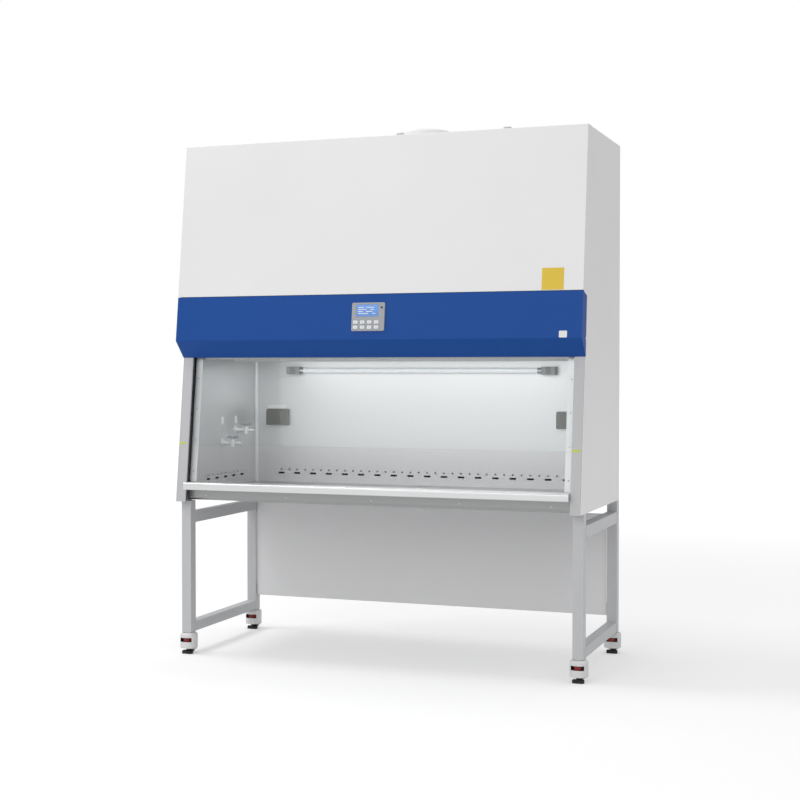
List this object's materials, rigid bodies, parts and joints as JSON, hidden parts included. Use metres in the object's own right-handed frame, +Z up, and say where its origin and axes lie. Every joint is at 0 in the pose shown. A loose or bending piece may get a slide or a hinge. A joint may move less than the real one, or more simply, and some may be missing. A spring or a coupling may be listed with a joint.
{
  "type": "biosafety cabinet",
  "caption": "Class II biosafety cabinet on a tubular stand with levelling casters, blue control band, sliding glass sash and brushed steel work chamber.",
  "frame": {"origin": "on the floor under the middle of the cabinet's box", "axes": "+Z up, front towards -Y, X along the width"},
  "size_m": [1.9, 0.812, 2.367],
  "materials": {
    "casing_paint": "satin powder coat",
    "blue_paint": "satin powder coat",
    "stand_paint": "satin powder coat",
    "panel_paint": "satin powder coat",
    "stainless": "brushed",
    "galvanised": "zinc coated",
    "track_metal": "anodised",
    "shaft_steel": "ground",
    "glass": "clear",
    "lamp_glass": "clear",
    "white_plastic": "fine grain",
    "grey_plastic": "fine grain",
    "olive_plastic": "fine grain",
    "black_plastic": "fine grain",
    "red_plastic": "moulded",
    "filter_media": "pleated",
    "pad_rubber": "moulded",
    "wheel_plastic": "moulded",
    "handle_plastic": "moulded"
  },
  "bodies": {
    "cabinet": {"side_panels": "casing_paint", "front_pillars": "casing_paint", "roof_panel": "casing_paint", "back_panel": "casing_paint", "upper_front_panel": "casing_paint", "control_hood": "blue_paint", "exhaust_collar": "casing_paint", "liner_side_walls": "stainless", "liner_back_wall": "stainless", "base_pan": "stainless", "work_tray": "stainless", "armrest": "stainless", "front_grille": "stainless", "diffuser": "stainless", "supply_filter": "filter_media", "exhaust_filter": "filter_media", "plenum_box": "galvanised", "blower_housing": "galvanised", "electrics": "grey_plastic", "sash_guides": "track_metal", "control_panel": "grey_plastic", "uv_lamp": "grey_plastic", "work_lamp": "casing_paint", "sockets": "white_plastic", "taps": "stainless", "stand_frame": "stand_paint", "stand_back_panel": "panel_paint"},
    "blower_wheel_body": {"blower_wheel": "galvanised"},
    "sash": {"sash_glass": "glass", "sash_clamps": "track_metal"},
    "drive_shaft": {"sash_drive_shaft": "shaft_steel"},
    "idler_shaft": {"sash_idler_shaft": "shaft_steel"},
    "button_1": {"panel_button_1": "white_plastic"},
    "button_2": {"panel_button_2": "white_plastic"},
    "button_3": {"panel_button_3": "white_plastic"},
    "button_4": {"panel_button_4": "white_plastic"},
    "button_5": {"panel_button_5": "white_plastic"},
    "button_6": {"panel_button_6": "white_plastic"},
    "button_7": {"panel_button_7": "white_plastic"},
    "button_8": {"panel_button_8": "white_plastic"},
    "left_lid": {"left_socket_lid": "olive_plastic"},
    "right_lid": {"right_socket_lid": "olive_plastic"},
    "front_handle": {"front_tap_handle": "handle_plastic"},
    "rear_handle": {"rear_tap_handle": "handle_plastic"},
    "left_front_caster_body": {"left_front_caster": "white_plastic"},
    "left_front_wheel_body": {"left_front_wheel": "wheel_plastic"},
    "left_front_dial_body": {"left_front_dial": "red_plastic"},
    "left_front_pad_body": {"left_front_pad": "pad_rubber"},
    "right_front_caster_body": {"right_front_caster": "white_plastic"},
    "right_front_wheel_body": {"right_front_wheel": "wheel_plastic"},
    "right_front_dial_body": {"right_front_dial": "red_plastic"},
    "right_front_pad_body": {"right_front_pad": "pad_rubber"},
    "left_rear_caster_body": {"left_rear_caster": "white_plastic"},
    "left_rear_wheel_body": {"left_rear_wheel": "wheel_plastic"},
    "left_rear_dial_body": {"left_rear_dial": "red_plastic"},
    "left_rear_pad_body": {"left_rear_pad": "pad_rubber"},
    "right_rear_caster_body": {"right_rear_caster": "white_plastic"},
    "right_rear_wheel_body": {"right_rear_wheel": "wheel_plastic"},
    "right_rear_dial_body": {"right_rear_dial": "red_plastic"},
    "right_rear_pad_body": {"right_rear_pad": "pad_rubber"}
  },
  "joints": [
    {"name": "blower_spin", "type": "hinge", "parent": "cabinet", "child": "blower_wheel_body", "pos_m": [-0.43, 0.044, 2.01], "axis": [1, 0, 0], "continuous": true},
    {"name": "sash_slide", "type": "slide", "parent": "cabinet", "child": "sash", "axis": [0, 0.1219, 0.9925], "range_m": [-0.168, 0.31]},
    {"name": "drive_shaft_spin", "type": "hinge", "parent": "cabinet", "child": "drive_shaft", "pos_m": [0, -0.1838, 1.97952], "axis": [1, 0, 0], "continuous": true},
    {"name": "idler_shaft_spin", "type": "hinge", "parent": "cabinet", "child": "idler_shaft", "pos_m": [0, -0.2576, 1.37852], "axis": [1, 0, 0], "continuous": true},
    {"name": "button_1_press", "type": "slide", "parent": "cabinet", "child": "button_1", "axis": [0, 0.9925, -0.1219], "range_m": [0, 0.002], "stiffness_N_per_m": 600},
    {"name": "button_2_press", "type": "slide", "parent": "cabinet", "child": "button_2", "axis": [0, 0.9925, -0.1219], "range_m": [0, 0.002], "stiffness_N_per_m": 600},
    {"name": "button_3_press", "type": "slide", "parent": "cabinet", "child": "button_3", "axis": [0, 0.9925, -0.1219], "range_m": [0, 0.002], "stiffness_N_per_m": 600},
    {"name": "button_4_press", "type": "slide", "parent": "cabinet", "child": "button_4", "axis": [0, 0.9925, -0.1219], "range_m": [0, 0.002], "stiffness_N_per_m": 600},
    {"name": "button_5_press", "type": "slide", "parent": "cabinet", "child": "button_5", "axis": [0, 0.9925, -0.1219], "range_m": [0, 0.002], "stiffness_N_per_m": 600},
    {"name": "button_6_press", "type": "slide", "parent": "cabinet", "child": "button_6", "axis": [0, 0.9925, -0.1219], "range_m": [0, 0.002], "stiffness_N_per_m": 600},
    {"name": "button_7_press", "type": "slide", "parent": "cabinet", "child": "button_7", "axis": [0, 0.9925, -0.1219], "range_m": [0, 0.002], "stiffness_N_per_m": 600},
    {"name": "button_8_press", "type": "slide", "parent": "cabinet", "child": "button_8", "axis": [0, 0.9925, -0.1219], "range_m": [0, 0.002], "stiffness_N_per_m": 600},
    {"name": "left_lid_hinge", "type": "hinge", "parent": "cabinet", "child": "left_lid", "pos_m": [0, 0.265, 1.104], "axis": [-1, 0, 0], "range_deg": [0, 110]},
    {"name": "right_lid_hinge", "type": "hinge", "parent": "cabinet", "child": "right_lid", "pos_m": [0, 0.265, 1.104], "axis": [-1, 0, 0], "range_deg": [0, 110]},
    {"name": "front_tap_turn", "type": "hinge", "parent": "cabinet", "child": "front_handle", "pos_m": [-0.8, -0.081, 0.955], "axis": [0, 0, 1], "range_deg": [0, 90]},
    {"name": "rear_tap_turn", "type": "hinge", "parent": "cabinet", "child": "rear_handle", "pos_m": [-0.8, 0.06, 1.01], "axis": [0, 0, 1], "range_deg": [0, 90]},
    {"name": "left_front_swivel", "type": "hinge", "parent": "cabinet", "child": "left_front_caster_body", "pos_m": [-0.912, -0.309, 0.1], "axis": [0, 0, 1], "continuous": true},
    {"name": "left_front_roll", "type": "hinge", "parent": "left_front_caster_body", "child": "left_front_wheel_body", "pos_m": [-0.912, -0.289, 0.023], "axis": [1, 0, 0], "continuous": true},
    {"name": "left_front_dial_turn", "type": "hinge", "parent": "left_front_caster_body", "child": "left_front_dial_body", "pos_m": [-0.912, -0.323, 0.065], "axis": [0, 0, 1], "range_deg": [-720, 1800]},
    {"name": "left_front_pad_lift", "type": "slide", "parent": "left_front_caster_body", "child": "left_front_pad_body", "axis": [0, 0, 1], "range_m": [-0.0041, 0.0101]},
    {"name": "right_front_swivel", "type": "hinge", "parent": "cabinet", "child": "right_front_caster_body", "pos_m": [0.912, -0.309, 0.1], "axis": [0, 0, 1], "continuous": true},
    {"name": "right_front_roll", "type": "hinge", "parent": "right_front_caster_body", "child": "right_front_wheel_body", "pos_m": [0.912, -0.289, 0.023], "axis": [1, 0, 0], "continuous": true},
    {"name": "right_front_dial_turn", "type": "hinge", "parent": "right_front_caster_body", "child": "right_front_dial_body", "pos_m": [0.912, -0.323, 0.065], "axis": [0, 0, 1], "range_deg": [-720, 1800]},
    {"name": "right_front_pad_lift", "type": "slide", "parent": "right_front_caster_body", "child": "right_front_pad_body", "axis": [0, 0, 1], "range_m": [-0.0041, 0.0101]},
    {"name": "left_rear_swivel", "type": "hinge", "parent": "cabinet", "child": "left_rear_caster_body", "pos_m": [-0.912, 0.366, 0.1], "axis": [0, 0, 1], "continuous": true},
    {"name": "left_rear_roll", "type": "hinge", "parent": "left_rear_caster_body", "child": "left_rear_wheel_body", "pos_m": [-0.912, 0.386, 0.023], "axis": [1, 0, 0], "continuous": true},
    {"name": "left_rear_dial_turn", "type": "hinge", "parent": "left_rear_caster_body", "child": "left_rear_dial_body", "pos_m": [-0.912, 0.352, 0.065], "axis": [0, 0, 1], "range_deg": [-720, 1800]},
    {"name": "left_rear_pad_lift", "type": "slide", "parent": "left_rear_caster_body", "child": "left_rear_pad_body", "axis": [0, 0, 1], "range_m": [-0.0041, 0.0101]},
    {"name": "right_rear_swivel", "type": "hinge", "parent": "cabinet", "child": "right_rear_caster_body", "pos_m": [0.912, 0.366, 0.1], "axis": [0, 0, 1], "continuous": true},
    {"name": "right_rear_roll", "type": "hinge", "parent": "right_rear_caster_body", "child": "right_rear_wheel_body", "pos_m": [0.912, 0.386, 0.023], "axis": [1, 0, 0], "continuous": true},
    {"name": "right_rear_dial_turn", "type": "hinge", "parent": "right_rear_caster_body", "child": "right_rear_dial_body", "pos_m": [0.912, 0.352, 0.065], "axis": [0, 0, 1], "range_deg": [-720, 1800]},
    {"name": "right_rear_pad_lift", "type": "slide", "parent": "right_rear_caster_body", "child": "right_rear_pad_body", "axis": [0, 0, 1], "range_m": [-0.0041, 0.0101]}
  ],
  "couplings": [
    {"joint": "drive_shaft_spin", "follows": "sash_slide", "rad_per_m": -76.923},
    {"joint": "idler_shaft_spin", "follows": "sash_slide", "rad_per_m": -76.923},
    {"joint": "left_front_pad_lift", "follows": "left_front_dial_turn", "m_per_rad": 0.00031831},
    {"joint": "right_front_pad_lift", "follows": "right_front_dial_turn", "m_per_rad": 0.00031831},
    {"joint": "left_rear_pad_lift", "follows": "left_rear_dial_turn", "m_per_rad": 0.00031831},
    {"joint": "right_rear_pad_lift", "follows": "right_rear_dial_turn", "m_per_rad": 0.00031831}
  ]
}
